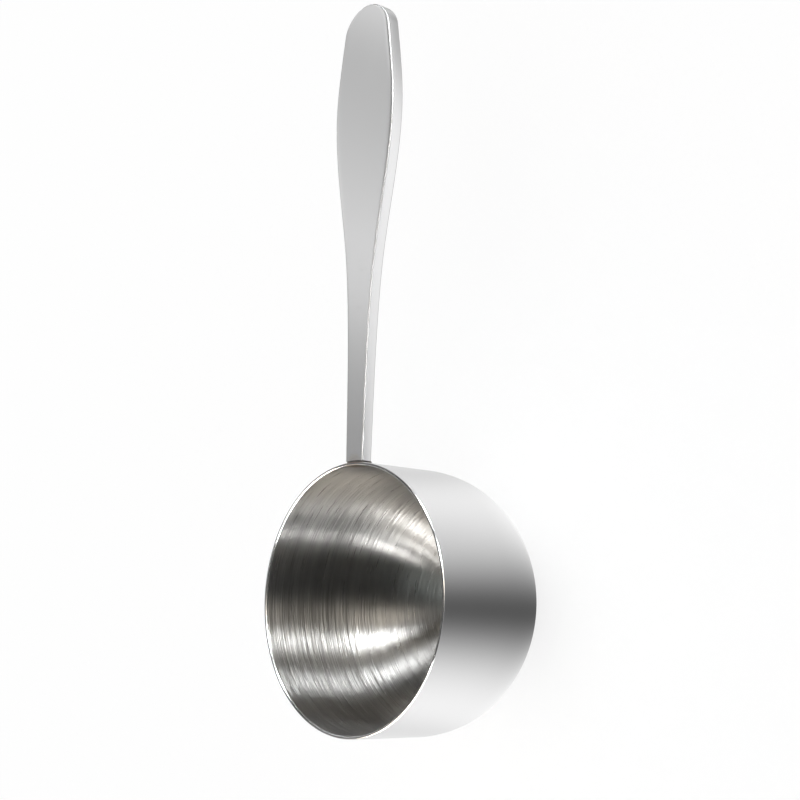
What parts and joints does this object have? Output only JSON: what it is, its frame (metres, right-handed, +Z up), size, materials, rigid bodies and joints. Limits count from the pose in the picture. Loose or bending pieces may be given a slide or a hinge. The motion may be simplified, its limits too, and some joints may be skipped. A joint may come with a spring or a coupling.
{
  "type": "measuring spoon",
  "caption": "Round steel measuring scoop with a deep rounded cup and a flat handle, narrow at the cup and widening to a rounded grip, welded to the cup's wall at the rim.",
  "frame": {"origin": "centre of the cup's flat base, on the face that it stands on", "axes": "+X runs along the handle, from the cup to the tip; +Z runs up the cup's axis, out of its mouth; +Y completes the set"},
  "size_m": [0.148, 0.053, 0.037],
  "materials": {
    "cup_steel": "polished outside, brushed in circles inside",
    "handle_steel": "polished",
    "weld_metal": "as welded, darkened"
  },
  "bodies": {
    "root": {"cup": "cup_steel", "handle": "handle_steel", "weld_bead": "weld_metal"}
  },
  "joints": []
}
